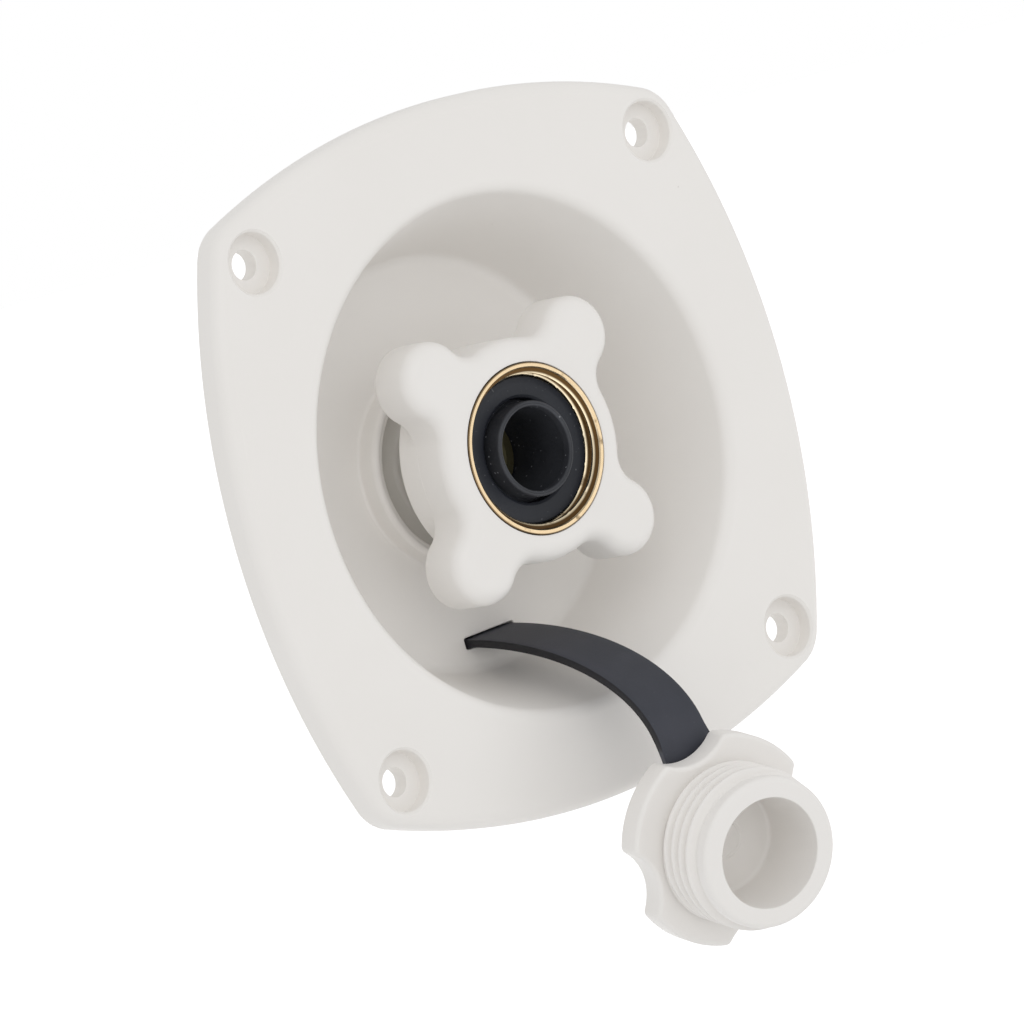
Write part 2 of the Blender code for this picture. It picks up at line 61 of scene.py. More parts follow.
def circle(radius, count=160, centre=(0.0, 0.0)):
    return [(centre[0] + radius * cos(tau * i / count), centre[1] + radius * sin(tau * i / count))
            for i in range(count)]


def arc(centre, radius, start, end, count):
    spread = [start + (end - start) * i / count for i in range(count + 1)]
    return [(centre[0] + radius * cos(a), centre[1] + radius * sin(a)) for a in spread]


def towards(angle, length):
    return (length * cos(angle), length * sin(angle))


def rounded(corners, closed=False, step=11.0):     # (r, z, radius) corners turned into arcs
    made = []
    for i, (r, z, fillet) in enumerate(corners):
        ends = not closed and i in (0, len(corners) - 1)
        if fillet <= 0 or ends:
            made.append((r, z))
            continue
        here = Vector((r, z))
        before = Vector(corners[i - 1][:2]) - here
        after = Vector(corners[(i + 1) % len(corners)][:2]) - here
        half = before.angle(after) / 2
        back = fillet / tan(half)
        first, last = before.normalized(), after.normalized()
        centre = here + (first + last).normalized() * (fillet / sin(half))
        start, end = here + first * back - centre, here + last * back - centre
        swing = atan2(start.x * end.y - start.y * end.x, start.dot(end))
        count = max(2, ceil(abs(degrees(swing)) / step))
        if before.length > back + 3 * flat:
            made.append(tuple(here + first * (back + flat)))
        for k in range(count + 1):
            a = swing * k / count
            turned = Vector((start.x * cos(a) - start.y * sin(a), start.x * sin(a) + start.y * cos(a)))
            made.append(tuple(centre + turned))
        if after.length > back + 3 * flat:
            made.append(tuple(here + last * (back + flat)))
    return made


def level(outline, z):
    return [(x, y, z) for x, y in outline]


def encloses(loop, point):
    inside = False
    for (ax, ay), (bx, by) in zip(loop, loop[1:] + loop[:1]):
        if (ay > point.y) != (by > point.y) and point.x < ax + (bx - ax) * (point.y - ay) / (by - ay):
            inside = not inside
    return inside


class Shape:
    def __init__(self, name, place=facingOut):
        self.name, self.place, self.bm = name, place, bmesh.new()

    def skin(self, rings):                       # joins each ring of points to the next
        rows = [[self.bm.verts.new(Vector(p) * mm) for p in ring] for ring in rings]
        for near, far in zip(rows, rows[1:]):
            count = len(near)
            for i in range(count):
                k = (i + 1) % count
                self.bm.faces.new((near[i], near[k], far[k], far[i]))

    def turn(self, profile, count=160, centre=(0.0, 0.0)):
        self.skin([level(circle(r, count, centre), z) for r, z in profile])

    def fill(self, z, *loops):                   # a flat face between the loops
        points, edges = [], []
        for loop in loops:
            first, size = len(points), len(loop)
            points += [Vector(p[:2]) for p in loop]
            edges += [(first + i, first + (i + 1) % size) for i in range(size)]
        places, _, faces, *_ = delaunay_2d_cdt(points, edges, [], 1, 1e-5)
        verts = [self.bm.verts.new(Vector((p.x, p.y, z)) * mm) for p in places]
        for face in faces:
            middle = sum((places[i] for i in face), Vector((0, 0))) / len(face)
            if sum(encloses(loop, middle) for loop in loops) % 2:
                self.bm.faces.new([verts[i] for i in face])

    def cap(self, ring):
        self.bm.faces.new([self.bm.verts.new(Vector(p) * mm) for p in ring])

    def done(self, sharp=38.0):
        bmesh.ops.remove_doubles(self.bm, verts=self.bm.verts, dist=0.003 * mm)
        bmesh.ops.dissolve_degenerate(self.bm, edges=self.bm.edges, dist=0.0005 * mm)
        bmesh.ops.recalc_face_normals(self.bm, faces=self.bm.faces)
        loose = sum(1 for e in self.bm.edges if len(e.link_faces) != 2)
        mesh = bpy.data.meshes.new(self.name)
        self.bm.to_mesh(mesh)
        self.bm.free()
        mesh.transform(self.place)
        mesh.shade_smooth()
        mesh.set_sharp_from_angle(angle=radians(sharp))
        made = bpy.data.objects.new(self.name, mesh)
        bpy.context.scene.collection.objects.link(made)
        print("made", self.name, len(mesh.polygons), "faces", loose, "open edges")
        return made


def threadRings(low, high, root, crest, pitch, lead=0.0, fadeLow=0.8, fadeHigh=0.8, count=160, perPitch=14):
    rings = []
    rows = ceil((high - low) / pitch * perPitch)
    for row in range(rows + 1):
        z = low + (high - low) * row / rows
        inLow = min(1.0, max(0.0, (z - low) / fadeLow))
        inHigh = min(1.0, max(0.0, (high - z) / fadeHigh))
        fade = inLow * inLow * (3 - 2 * inLow) * inHigh * inHigh * (3 - 2 * inHigh)
        ring = []
        for i in range(count):
            turn = i / count
            part = (z / pitch - turn + lead) % 1.0
            ridge = min(1.0, max(0.0, (1 - abs(2 * part - 1) - 0.12) / 0.72))
            r = root + (crest - root) * ridge * ridge * (3 - 2 * ridge) * fade
            ring.append((r * cos(tau * turn), r * sin(tau * turn), z))
        rings.append(ring)
    return rings


def combine(obj, tool, operation="DIFFERENCE"):  # changes obj for good and drops the tool
    step = obj.modifiers.new("combine", "BOOLEAN")
    step.operation, step.object, step.solver = operation, tool, "EXACT"
    graph = bpy.context.evaluated_depsgraph_get()
    mesh = bpy.data.meshes.new_from_object(obj.evaluated_get(graph))
    obj.modifiers.clear()
    mesh.shade_smooth()
    mesh.set_sharp_from_angle(angle=radians(38))
    obj.data = mesh
    bpy.data.objects.remove(tool)


def finish(obj, look, body, slot, *nodes):
    obj.data.materials.append(look)
    if body:
        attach(obj, body)
    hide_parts(*nodes)


class Wire:                                      # one output of a node, used in sums
    def __init__(self, look, socket):
        self.look, self.socket = look, socket

    def join(self, operation, first, second):
        return self.look.node("ShaderNodeMath", {"operation": operation}, {0: first, 1: second})

    def __add__(self, other):
        return self.join("ADD", self, other)

    def __radd__(self, other):
        return self.join("ADD", other, self)

    def __sub__(self, other):
        return self.join("SUBTRACT", self, other)

    def __rsub__(self, other):
        return self.join("SUBTRACT", other, self)

    def __mul__(self, other):
        return self.join("MULTIPLY", self, other)

    def __rmul__(self, other):
        return self.join("MULTIPLY", other, self)


class Look:
    def __init__(self, name, **fixed):
        self.material = bpy.data.materials.new(name)
        self.material.use_nodes = True
        self.tree = self.material.node_tree
        self.shader = self.tree.nodes["Principled BSDF"]
        for key, value in fixed.items():
            self.shader.inputs[key.replace("_", " ")].default_value = value
        self.place = self.node("ShaderNodeTexCoord", {}, {}, "Object")    # metres, in the frame of the wall

    def node(self, kind, settings, sockets, out=0):
        made = self.tree.nodes.new(kind)
        for key, value in settings.items():
            setattr(made, key, value)
        for key, value in sockets.items():
            self.feed(made.inputs[key], value)
        return Wire(self, made.outputs[out])

    def feed(self, socket, value):
        if isinstance(value, Wire):
            self.tree.links.new(value.socket, socket)
        else:
            socket.default_value = value

    def noise(self, scale, detail=2.0, stretch=None):
        place = self.place
        if stretch:
            place = self.node("ShaderNodeVectorMath", {"operation": "MULTIPLY"}, {0: place, 1: stretch})
        return self.node("ShaderNodeTexNoise", {}, {"Vector": place, "Scale": scale, "Detail": detail})

    def above(self, value, low, high):           # 0 below low, 1 above high
        return self.node("ShaderNodeMapRange", {"interpolation_type": "SMOOTHSTEP"},
                         {"Value": value, "From Min": low, "From Max": high})

    def blend(self, factor, first, second):
        return self.node("ShaderNodeMix", {"data_type": "RGBA"},
                         {0: factor, 6: (*first, 1.0) if isinstance(first, tuple) else first,
                          7: (*second, 1.0) if isinstance(second, tuple) else second}, 2)

    def specks(self, scale, size, share):        # scattered round dots
        cell = {"Vector": self.place, "Scale": scale}
        near = self.node("ShaderNodeTexVoronoi", {}, cell, "Distance")
        pick = self.node("ShaderNodeTexVoronoi", {}, cell, "Color")
        pick = self.node("ShaderNodeSeparateColor", {}, {0: pick}, 0)
        return (1 - self.above(near, size * 0.6, size)) * self.above(pick, 1 - share, 1 - share + 0.01)

    def bump(self, height, strength, depth):
        normal = self.node("ShaderNodeBump", {},
                           {"Strength": strength, "Distance": depth * mm, "Height": height})
        self.feed(self.shader.inputs["Normal"], normal)

    def colour(self, wire):
        self.feed(self.shader.inputs["Base Color"], wire)

    def roughness(self, wire):
        self.feed(self.shader.inputs["Roughness"], wire)


def mouldedPlastic(name, light, shade, rough):
    look = Look(name, IOR=1.5)
    cloud = look.noise(38.0, 4.0)
    fine = look.noise(1700.0, 3.0)
    grain = look.noise(5200.0, 2.0)
    tone = look.blend(look.above(cloud, 0.3, 0.7) * 0.8 + fine * 0.2, light, shade)
    dust = look.specks(190.0, 0.035, 0.12)
    look.colour(look.blend(dust * 0.55, tone, (0.33, 0.28, 0.23)))
    look.roughness(rough - 0.06 + fine * 0.08 + cloud * 0.05)
    look.bump(fine * 0.6 + grain * 0.4 + cloud * 0.6, 0.16, 0.06)
    return look.material


def blackRubber(name, dark, pale, dusty, rough, grainDepth=0.05, paintedShadeSideFrom=None):
    look = Look(name, IOR=1.42)
    cloud = look.noise(90.0, 5.0)
    fine = look.noise(2600.0, 3.0)
    dots = look.specks(900.0, 0.16, 0.22)
    lint = look.above(look.noise(1500.0, 2.0), 0.70, 0.80)
    tone = look.blend(look.above(cloud, 0.3, 0.72), dark, pale)
    if paintedShadeSideFrom:                                 # painted shade: the narrow sides of a band are darkened in the colour
        across = look.node("ShaderNodeVectorMath", {"operation": "MULTIPLY"},
                           {0: look.place, 1: (1.0, 0.0, 0.0)})
        reach = look.node("ShaderNodeVectorMath", {"operation": "LENGTH"}, {0: across}, "Value")
        side = look.above(reach, paintedShadeSideFrom * mm, paintedShadeSideFrom * mm + 0.15 * mm)
        tone = look.blend(side, tone, (0.010, 0.010, 0.013))
    look.colour(look.blend((dots * 0.6 + lint * 0.5) * dusty, tone, (0.30, 0.31, 0.33)))
    look.roughness(rough - 0.05 + cloud * 0.1 + fine * 0.08)
    look.bump(fine + cloud * 0.4 + dots * 0.4, 0.35, grainDepth)
    return look.material


# radii in mm of the thread's bands, used for the face tint and the painted shade below
brassBands = {"groove": (12.6, 13.0), "flank": (13.5, 13.6), "face": (13.55, 13.65), "rim": (14.15, 14.3)}


def polishedBrass(name, light, dark, rough, tarnish, faceTintAndPaintedShade=0.0):
    look = Look(name, Metallic=1.0)
    cloud = look.noise(240.0, 4.0)
    scratch = look.noise(900.0, 3.0, (1.0, 7.0, 1.0))
    fine = look.noise(3200.0, 2.0)
    stain = look.above(look.noise(420.0, 5.0), 0.58, 0.74) * tarnish
    tone = look.blend(cloud * 0.7 + scratch * 0.3, light, dark)
    flatPlace = look.node("ShaderNodeVectorMath", {"operation": "MULTIPLY"},
                          {0: look.place, 1: (1.0, 0.0, 1.0)})
    radius = look.node("ShaderNodeVectorMath", {"operation": "LENGTH"}, {0: flatPlace}, "Value")
    groove, flank, face, edge = (look.above(radius, low * mm, high * mm)
                                 for low, high in brassBands.values())
    # painted shade: a mask of the thread roots between the crests
    deep = groove * (1 - flank)
    # the flat front face is tinted a deeper gold brown
    tone = look.blend(face * faceTintAndPaintedShade * 0.6, tone, (0.55, 0.38, 0.20))
    # painted shade: the roots and the outer rim against the nut are darkened almost to black brown
    tone = look.blend(deep * faceTintAndPaintedShade + edge * faceTintAndPaintedShade * 0.8, tone, (0.10, 0.055, 0.02))
    look.colour(look.blend(stain, tone, (0.13, 0.075, 0.03)))
    look.roughness(rough + scratch * 0.14 + stain * 0.3 + deep * 0.2)
    look.bump(scratch * 0.7 + fine * 0.3, 0.12, 0.03)
    return look.material


def drawnSteel(name):
    look = Look(name, Metallic=1.0)
    draw = look.noise(1400.0, 3.0, (1.0, 0.3, 1.0))
    look.colour(look.blend(draw, (0.56, 0.57, 0.58), (0.40, 0.40, 0.41)))
    look.roughness(0.2 + draw * 0.2)
    look.bump(draw, 0.1, 0.02)
    return look.material


flangePlastic = mouldedPlastic("flangePlastic", (0.905, 0.882, 0.852), (0.890, 0.866, 0.834), 0.46)
nutPlastic = mouldedPlastic("nutPlastic", (0.900, 0.878, 0.850), (0.886, 0.863, 0.833), 0.42)
plugPlastic = mouldedPlastic("plugPlastic", (0.895, 0.873, 0.846), (0.880, 0.857, 0.828), 0.45)
# painted shade: the body and lock nut take a darker copy of the white plastic, as they sit inside and behind
# the flange
shadedBodyPlastic = mouldedPlastic("shadedBodyPlastic", (0.72, 0.70, 0.66), (0.69, 0.67, 0.63), 0.48)
washerRubber = blackRubber("washerRubber", (0.009, 0.011, 0.017), (0.016, 0.019, 0.027), 0.45, 0.5)
strapRubber = blackRubber("strapRubber", (0.033, 0.036, 0.048), (0.044, 0.047, 0.062), 0.06, 0.52, 0.03, 5.05)
sealRubber = blackRubber("sealRubber", (0.012, 0.013, 0.016), (0.022, 0.022, 0.026), 0.1, 0.5)
tubeNylon = blackRubber("tubeNylon", (0.026, 0.028, 0.034), (0.050, 0.053, 0.062), 1.7, 0.55, 0.12)
valveNylon = blackRubber("valveNylon", (0.014, 0.014, 0.014), (0.026, 0.026, 0.025), 0.2, 0.45)
threadBrass = polishedBrass("threadBrass", (1.0, 0.92, 0.72), (0.80, 0.62, 0.37), 0.13, 0.75, 1.0)
seatBrass = polishedBrass("seatBrass", (0.20, 0.18, 0.10), (0.12, 0.11, 0.06), 0.45, 0.5)
springSteel = drawnSteel("springSteel")
print("looks ready")


flangeSize = {
    "half": 60.0, "bow": 128.0, "corner": 8.0, "thick": 6.0, "frontEdge": 2.4, "backEdge": 0.8,
    "rim": 3.0, "ceiling": 3.0, "screwApart": 44.0, "screwHead": 5.1, "headDeep": 3.0,
    "screwHole": 2.45, "boss": 8.0, "mouth": 43.6, "lip": 2.0, "floor": 35.4, "floorZ": -17.9,
    "floorBackZ": -20.7, "collar": 17.4, "collarZ": -13.7, "collarBore": 15.3, "cupZ": -20.5,
    "cupBackZ": -23.5, "cup": 18.2, "bodyHole": 10.9, "slotWidth": 11.2, "slotHigh": 2.0, "slotAt": -30.2,
}


def bowedOutline(inset, sideSteps=36, cornerSteps=14):
    s = flangeSize
    bow, middle, corner = s["bow"] - inset, s["half"] - s["bow"], s["corner"] - inset
    reach = bow - corner
    diagonal = (middle + sqrt(2 * reach ** 2 - middle ** 2)) / 2
    turn = asin(diagonal / reach)
    quarter = arc((middle, 0), bow, -turn, turn, sideSteps)
    quarter += arc((diagonal, diagonal), corner, turn, pi / 2 - turn, cornerSteps)[1:-1]
    return [(x * cos(q) - y * sin(q), x * sin(q) + y * cos(q))
            for q in (k * pi / 2 for k in range(4)) for x, y in quarter]


def hollowOutline(inset, sideSteps=36, bossSteps=16):
    s = flangeSize
    bow, middle = s["bow"] - s["rim"] - inset, s["half"] - s["bow"]
    boss, at = s["boss"] + inset, s["screwApart"]
    low, high = -pi / 2, pi / 4                  # where the boss leaves the right side's bow
    for _ in range(40):
        a = (low + high) / 2
        x, y = at + boss * cos(a + pi), at + boss * sin(a + pi)
        outside = (x - middle) ** 2 + y ** 2 > bow ** 2
        low, high = (a, high) if not outside else (low, a)
    start = a + pi
    x, y = at + boss * cos(start), at + boss * sin(start)
    turn = atan2(y, x - middle)
    quarter = arc((middle, 0), bow, -turn, turn, sideSteps)
    quarter += arc((at, at), boss, start, 5 * pi / 2 - start, bossSteps)[1:-1]
    return [(x * cos(q) - y * sin(q), x * sin(q) + y * cos(q))
            for q in (k * pi / 2 for k in range(4)) for x, y in quarter]


def slotOutline(grow=0.0):
    s = flangeSize
    wide, high, at, soft = s["slotWidth"] / 2 + grow, s["slotHigh"] / 2 + grow, s["slotAt"], 0.35 + grow
    points = []
    for k, (x, y) in enumerate(((wide, high), (-wide, high), (-wide, -high), (wide, -high))):
        inner = (x - soft * (1 if x > 0 else -1), at + y - soft * (1 if y > 0 else -1))
        points += arc(inner, soft, k * pi / 2, (k + 1) * pi / 2, 4)
    return points


def makeFlange():
    s = flangeSize
    shape = Shape("flangeShell")
    top, front, back, skinZ = s["thick"], s["frontEdge"], s["backEdge"], s["ceiling"]
    quarter = [pi / 2 * k / 8 for k in range(9)]
    edge = [level(bowedOutline(front + flat), top)]
    edge += [level(bowedOutline(front * (1 - sin(a))), top - front * (1 - cos(a))) for a in quarter]
    edge += [level(bowedOutline(back * (1 - cos(a))), back * (1 - sin(a))) for a in quarter]
    edge += [level(bowedOutline(back + flat), 0)]
    shape.skin(edge)
    pocket = [level(hollowOutline(0), 0), level(hollowOutline(0), skinZ - 0.6 - flat)]
    pocket += [level(hollowOutline(0.6 * (1 - cos(a))), skinZ - 0.6 * (1 - sin(a))) for a in quarter[::2]]
    pocket += [level(hollowOutline(0.6 + flat), skinZ)]
    shape.skin(pocket)
    wall = s["mouth"] + 3.2
    shape.fill(0, bowedOutline(back + flat), hollowOutline(0))
    shape.fill(skinZ, hollowOutline(0.6 + flat), circle(wall + 1.0))
    outside = rounded([(wall + 1.0, skinZ, 0), (wall, skinZ, 0.5), (wall, 0, 0.3), (wall - 1.6, 0, 0.3),
                       (s["floor"] + 1.4, s["floorBackZ"], 2.0), (s["floor"] - 2.5, s["floorBackZ"], 0)])
    shape.turn(outside)
    shape.fill(s["floorBackZ"], circle(s["floor"] - 2.5), circle(s["cup"] + 0.8), slotOutline())
    cup = rounded([(s["cup"] + 0.8, s["floorBackZ"], 0), (s["cup"], s["floorBackZ"], 0.4),
                   (s["cup"], s["cupBackZ"], 0.6), (s["bodyHole"], s["cupBackZ"], 0.3),
                   (s["bodyHole"], s["cupZ"], 0.2), (s["collarBore"], s["cupZ"], 0.5),
                   (s["collarBore"], s["collarZ"], 0.8), (s["collar"] - 0.15, s["collarZ"], 1.0),
                   (s["collar"], s["floorZ"], 0.6), (s["collar"] + 1.2, s["floorZ"], 0)])
    shape.turn(cup)
    shape.fill(s["floorZ"], circle(s["floor"] - 3.0), circle(s["collar"] + 1.2), slotOutline(0.15 + flat))
    shape.skin([level(slotOutline(), s["floorBackZ"]), level(slotOutline(), s["floorZ"] - 0.15),
                level(slotOutline(0.15), s["floorZ"]), level(slotOutline(0.15 + flat), s["floorZ"])])
    inside = rounded([(s["floor"] - 3.0, s["floorZ"], 0), (s["floor"], s["floorZ"], 2.0),
                      (s["mouth"], top, s["lip"] * 1.25), (s["mouth"] + 5.0, top, 0)], step=8.0)
    shape.turn(inside)
    shape.fill(top, bowedOutline(front + flat), circle(s["mouth"] + 5.0))
    return shape.done()


def drillScrews(plate):
    s = flangeSize
    hole, head, top, at = s["screwHole"], s["screwHead"], s["thick"], s["screwApart"]
    seat = top - s["headDeep"] + 0.013           # just clear of the pocket's ceiling
    profile = rounded([(0, -2, 0), (hole, -2, 0), (hole, seat, 0.12), (head, seat, 0.08),
                       (head, top - 0.4, 0.25), (head + 0.8, top + 0.3, 0), (head + 0.8, top + 2, 0),
                       (0, top + 2, 0)])
    tool = Shape("screwTool")
    for place in ((x * at, y * at) for x in (-1, 1) for y in (-1, 1)):
        tool.turn(profile, 96, place)
    combine(plate, tool.done())


shell = makeFlange()
drillScrews(shell)
finish(shell, flangePlastic, "root", "white_plastic", "flange_dish")
print("flange done")


bodySize = {
    "neck": 10.5, "frontZ": 1.0, "bore": 9.0, "stepZ": -26.8, "outlet": 7.0, "endZ": -50.0,
    "groove": 9.9, "grooveZ": (-1.9, -0.4), "shoulder": 14.8, "shoulderZ": (-16.9, -18.9),
    "threadRoot": 9.7, "pitch": 1.814, "threadZ": (-48.6, -25.0), "plainZ": -22.0,
}
lockNutSize = {"across": 17.0, "frontZ": -23.8, "backZ": -30.8, "hole": 10.8, "soft": 0.7}


def makeBody():
    s = bodySize
    shape = Shape("inletBody")
    backZ, frontZ = s["grooveZ"]
    upper = rounded([(s["bore"], s["stepZ"], 0.3), (s["bore"], s["frontZ"], 0.4),
                     (s["neck"], s["frontZ"], 0.4), (s["neck"], frontZ, 0),
                     (s["groove"], frontZ, 0), (s["groove"], backZ, 0), (s["neck"], backZ, 0),
                     (s["neck"], s["shoulderZ"][0], 0.8),
                     (s["shoulder"], s["shoulderZ"][0], 0.4), (s["shoulder"], s["shoulderZ"][1], 0.3),
                     (s["neck"], s["shoulderZ"][1], 0.3), (s["neck"], s["plainZ"], 0)])
    shape.turn([(s["outlet"], s["stepZ"]), *upper], 96)
    low, high = s["threadZ"]
    thread = threadRings(low, high, s["threadRoot"], s["neck"], s["pitch"], count=96, perPitch=10)
    shape.skin([level(circle(s["neck"], 96), s["plainZ"]), level(circle(s["threadRoot"], 96), high),
                *thread[::-1]])
    lower = rounded([(s["threadRoot"], low, 0), (s["threadRoot"], s["endZ"], 0.6),
                     (s["outlet"], s["endZ"], 0.4), (s["outlet"], s["stepZ"], 0)])
    shape.turn(lower, 96)
    return shape.done()


def hexOutline(inset, count=6, soft=1.2, steps=5):
    s = lockNutSize
    inner = s["across"] - inset / cos(pi / 6) - soft / cos(pi / 6)
    reach = pi / count
    points = []
    for k in range(count):
        a = tau * k / count
        points += arc(towards(a, inner), soft, a - reach, a + reach, steps)
    return points


def makeLockNut():
    s = lockNutSize
    shape = Shape("rearLockNut")
    soft, low, high, hole = s["soft"], s["backZ"], s["frontZ"], s["hole"]
    quarter = [pi / 2 * k / 4 for k in range(5)]
    rings = [level(hexOutline(soft + flat), high)]
    rings += [level(hexOutline(soft * (1 - sin(a))), high - soft * (1 - cos(a))) for a in quarter]
    rings += [level(hexOutline(soft * (1 - cos(a))), low + soft * (1 - sin(a))) for a in quarter]
    rings += [level(hexOutline(soft + flat), low)]
    shape.skin(rings)
    shape.fill(high, hexOutline(soft + flat), circle(hole + 0.9, 72))
    shape.fill(low, hexOutline(soft + flat), circle(hole + 0.9, 72))
    bore = rounded([(hole + 0.9, high, 0), (hole, high, 0.4), (hole, low, 0.4), (hole + 0.9, low, 0)])
    shape.turn(bore, 72)
    return shape.done()


finish(makeBody(), shadedBodyPlastic, "root", "white_plastic", "inlet_body")
finish(makeLockNut(), shadedBodyPlastic, "root", "white_plastic", "rear_lock_nut")
print("body done")


nutSize = {
    "faceZ": 8.0, "backZ": -2.0, "hub": 18.9, "lobe": 6.7, "lobeAt": 22.3, "fillet": 4.5, "turn": 44.0,
    "frontEdge": 3.0, "backEdge": 1.4, "rearHub": 18.93, "rearHubZ": -5.3, "socket": 14.5,
    "socketZ": -4.3, "hole": 11.0,
}
insertSize = {
    "outer": 14.4, "faceZ": 8.1, "backZ": -4.0, "minor": 12.5, "major": 13.5, "pitch": 2.209,
    "lead": 0.14, "threadZ": (-1.6, 7.75), "shoulder": 11.0, "shoulderZ": -2.3,
}
washerSize = {"outer": 12.4, "inner": 8.8, "frontZ": 5.6, "backZ": 1.3}
tubeSize = {
    "outer": 8.7, "bore": 7.65, "lipZ": 8.0, "lip": 7.1, "lipOuter": 8.05, "lipDeep": 1.6,
    "flareDeep": 2.2, "waistZ": (3.4, 4.0), "backZ": -12.3, "stepZ": -9.3, "throat": 6.2,
    "grooveZ": (-11.6, -9.6), "groove": 7.15,
}


def lobedOutline(inset, lobeSteps=30, filletSteps=10, hubSteps=14):
    s = nutSize
    lobe, hub, fillet, at = s["lobe"] - inset, s["hub"] - inset, s["fillet"] + inset, s["lobeAt"]
    toHub, toLobe = hub + fillet, lobe + fillet
    swing = acos((toHub ** 2 + at ** 2 - toLobe ** 2) / (2 * toHub * at))
    reach = pi - acos((at ** 2 + toLobe ** 2 - toHub ** 2) / (2 * at * toLobe))
    points = []
    for k in range(4):
        a = radians(s["turn"]) + k * pi / 2
        b = a + pi / 2
        points += arc(towards(a, at), lobe, a - reach, a + reach, lobeSteps)[:-1]
        points += arc(towards(a + swing, toHub), fillet, a + reach + pi, a + swing + pi, filletSteps)[:-1]
        points += arc((0, 0), hub, a + swing, b - swing, hubSteps)[:-1]
        points += arc(towards(b - swing, toHub), fillet, b - swing + pi, b - reach + pi, filletSteps)[:-1]
    return points


def makeNut():
    s = nutSize
    shape = Shape("swivelNutShell")
    top, low, front, back = s["faceZ"], s["backZ"], s["frontEdge"], s["backEdge"]
    quarter = [pi / 2 * k / 9 for k in range(10)]
    rings = [level(lobedOutline(front + flat), top)]
    rings += [level(lobedOutline(front * (1 - sin(a))), top - front * (1 - cos(a))) for a in quarter]
    rings += [level(lobedOutline(back * (1 - cos(a))), low + back * (1 - sin(a))) for a in quarter]
    rings += [level(lobedOutline(back + flat), low)]
    shape.skin(rings)
    shape.fill(top, lobedOutline(front + flat), circle(s["socket"] + 0.3))
    shape.fill(low, lobedOutline(back + flat), circle(s["socket"]))
    shape.turn([(s["socket"] + 0.3, top), (s["socket"] + 0.08, top - 0.08), (s["socket"], top - 0.3),
                (s["socket"], low)])
    nut = shape.done()
    rear = Shape("nutRearHub")                   # round boss behind the lobes
    inner = s["socket"] + 0.05
    profile = rounded([(inner, low + 2, 0), (inner, s["socketZ"], 0), (s["hole"], s["socketZ"], 0),
                       (s["hole"], s["rearHubZ"], 0.3), (s["rearHub"], s["rearHubZ"], 0.8),
                       (s["rearHub"], low + 2, 0)], closed=True)
    rear.turn([*profile, profile[0]])
    combine(nut, rear.done(), "UNION")
    return nut


def makeInsert():
    s = insertSize
    shape = Shape("brassThread")
    low, high = s["threadZ"]
    thread = threadRings(low, high, s["major"], s["minor"], s["pitch"], s["lead"], 0.8, 0.25, perPitch=16)
    shape.skin([level(circle(s["major"]), low - 0.1), *thread,
                level(circle(s["major"] + 0.12), s["faceZ"] - 0.1),
                level(circle(s["major"] + 0.2), s["faceZ"])])
    outer = rounded([(s["major"] + 0.2, s["faceZ"], 0), (s["outer"], s["faceZ"], 0.2),
                     (s["outer"], s["backZ"], 0.3), (s["shoulder"], s["backZ"], 0.3),
                     (s["shoulder"], s["shoulderZ"], 0.3),
                     (s["major"], s["shoulderZ"], 0.2), (s["major"], low - 0.1, 0)])
    shape.turn(outer)
    return shape.done()


def makeWasher():
    s = washerSize
    shape = Shape("hoseWasherRing")
    profile = rounded([(s["inner"], s["backZ"], 0.2), (s["outer"], s["backZ"], 0.2),
                       (s["outer"], s["frontZ"], 0.3), (s["outer"] - 1.1, s["frontZ"], 0.4),
                       (s["inner"] + 0.5, s["frontZ"] - 0.2, 0.2),
                       (s["inner"], s["frontZ"] - 0.5, 0.15)], closed=True)
    shape.turn([*profile, profile[0]], 128)
    return shape.done()


def makeTube():
    s = tubeSize
    shape = Shape("valveTube")
    low, high = s["grooveZ"]
    wide, slim = s["waistZ"]
    profile = rounded([(s["bore"], s["stepZ"], 0.2), (s["bore"], s["lipZ"] - s["flareDeep"], 0.2),
                       (s["lip"], s["lipZ"] - s["lipDeep"], 0.2), (s["lip"], s["lipZ"], 0.35),
                       (s["lipOuter"], s["lipZ"], 0.4), (s["lipOuter"], slim, 0.1), (s["outer"], wide, 0.1),
                       (s["outer"], high, 0.1), (s["groove"], high, 0.1), (s["groove"], low, 0.1),
                       (s["outer"], low, 0.1), (s["outer"], s["backZ"], 0.2), (s["throat"], s["backZ"], 0.2),
                       (s["throat"], s["stepZ"], 0.2)], closed=True)
    shape.turn([*profile, profile[0]], 128)
    return shape.done()


finish(makeNut(), nutPlastic, "hose_nut", "nut_plastic", "swivel_nut")
finish(makeInsert(), threadBrass, "hose_nut", "brass", "thread_insert")
finish(makeWasher(), washerRubber, "root", "black_rubber", "hose_washer")
finish(makeTube(), tubeNylon, "root", "black_nylon", "valve_sleeve")
print("nut done")


plugSize = {
    "back": (1.0, -22.8, -68.8), "yaw": 11.0, "pitch": 10.0, "rim": 17.8, "rimThick": 5.1, "bite": 8.65,
    "biteDeep": 3.2, "biteTurn": 9.0, "soft": 1.3, "edge": 0.8, "long": 18.1, "nose": 12.6, "noseSoft": 0.9,
    "root": 12.15, "crest": 13.5, "threadPitch": 2.209, "threadZ": (5.12, 15.3), "lead": 0.80,
    "bore": 9.2, "boreZ": 3.8, "post": 2.6, "head": 4.4, "headZ": -4.2,
}


def plugPlace():
    s = plugSize
    yaw, pitch = radians(s["yaw"]), radians(s["pitch"])
    axis = Vector((-sin(yaw) * cos(pitch), -cos(yaw) * cos(pitch), -sin(pitch)))
    across = Vector((0, 0, 1)).cross(axis).normalized()
    place = Matrix((across, axis.cross(across), axis)).transposed().to_4x4()
    place.translation = Vector(s["back"]) * mm
    return place


plugFrame = plugPlace()


